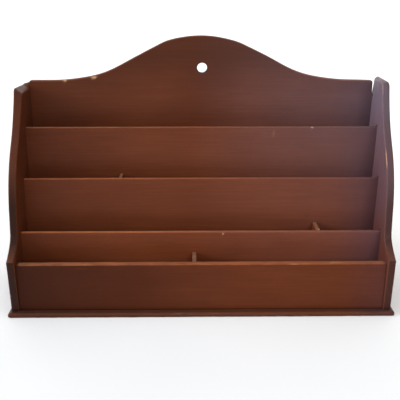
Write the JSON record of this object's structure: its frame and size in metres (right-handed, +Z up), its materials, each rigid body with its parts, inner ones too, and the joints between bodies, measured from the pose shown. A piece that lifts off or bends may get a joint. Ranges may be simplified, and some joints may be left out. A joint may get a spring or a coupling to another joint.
{
  "type": "letter rack",
  "caption": "Stepped wooden rack with upright slots for letters and papers, shaped sides and a serpentine back with a hanging hole; stands on a table or hangs on a wall.",
  "frame": {"origin": "on the ground at the middle of the base board's footprint", "axes": "+Z up, -Y towards the low front, +Y towards the wall, +X to the right-hand end seen from the front"},
  "size_m": [0.434, 0.142, 0.2947],
  "materials": {
    "back_wood": "satin varnish over reddish-brown stain",
    "side_wood": "satin varnish over reddish-brown stain, arrises rubbed pale",
    "base_wood": "satin varnish over reddish-brown stain, dusty top",
    "front_wood": "satin varnish over reddish-brown stain, scuffed",
    "partition_wood": "satin varnish over reddish-brown stain, top arris rubbed",
    "divider_wood": "satin varnish over reddish-brown stain, top edge rubbed",
    "nail_steel": "dull, stained over and lightly rusted"
  },
  "bodies": {
    "root": {"back_board": "back_wood", "left_side": "side_wood", "right_side": "side_wood", "base_board": "base_wood", "front_board": "front_wood", "rear_partition": "partition_wood", "middle_partition": "partition_wood", "front_partition": "partition_wood", "second_slot_divider": "divider_wood", "third_slot_divider": "divider_wood", "front_slot_divider": "divider_wood", "back_nails": "nail_steel", "front_nails": "nail_steel", "base_nails": "nail_steel"}
  },
  "joints": []
}
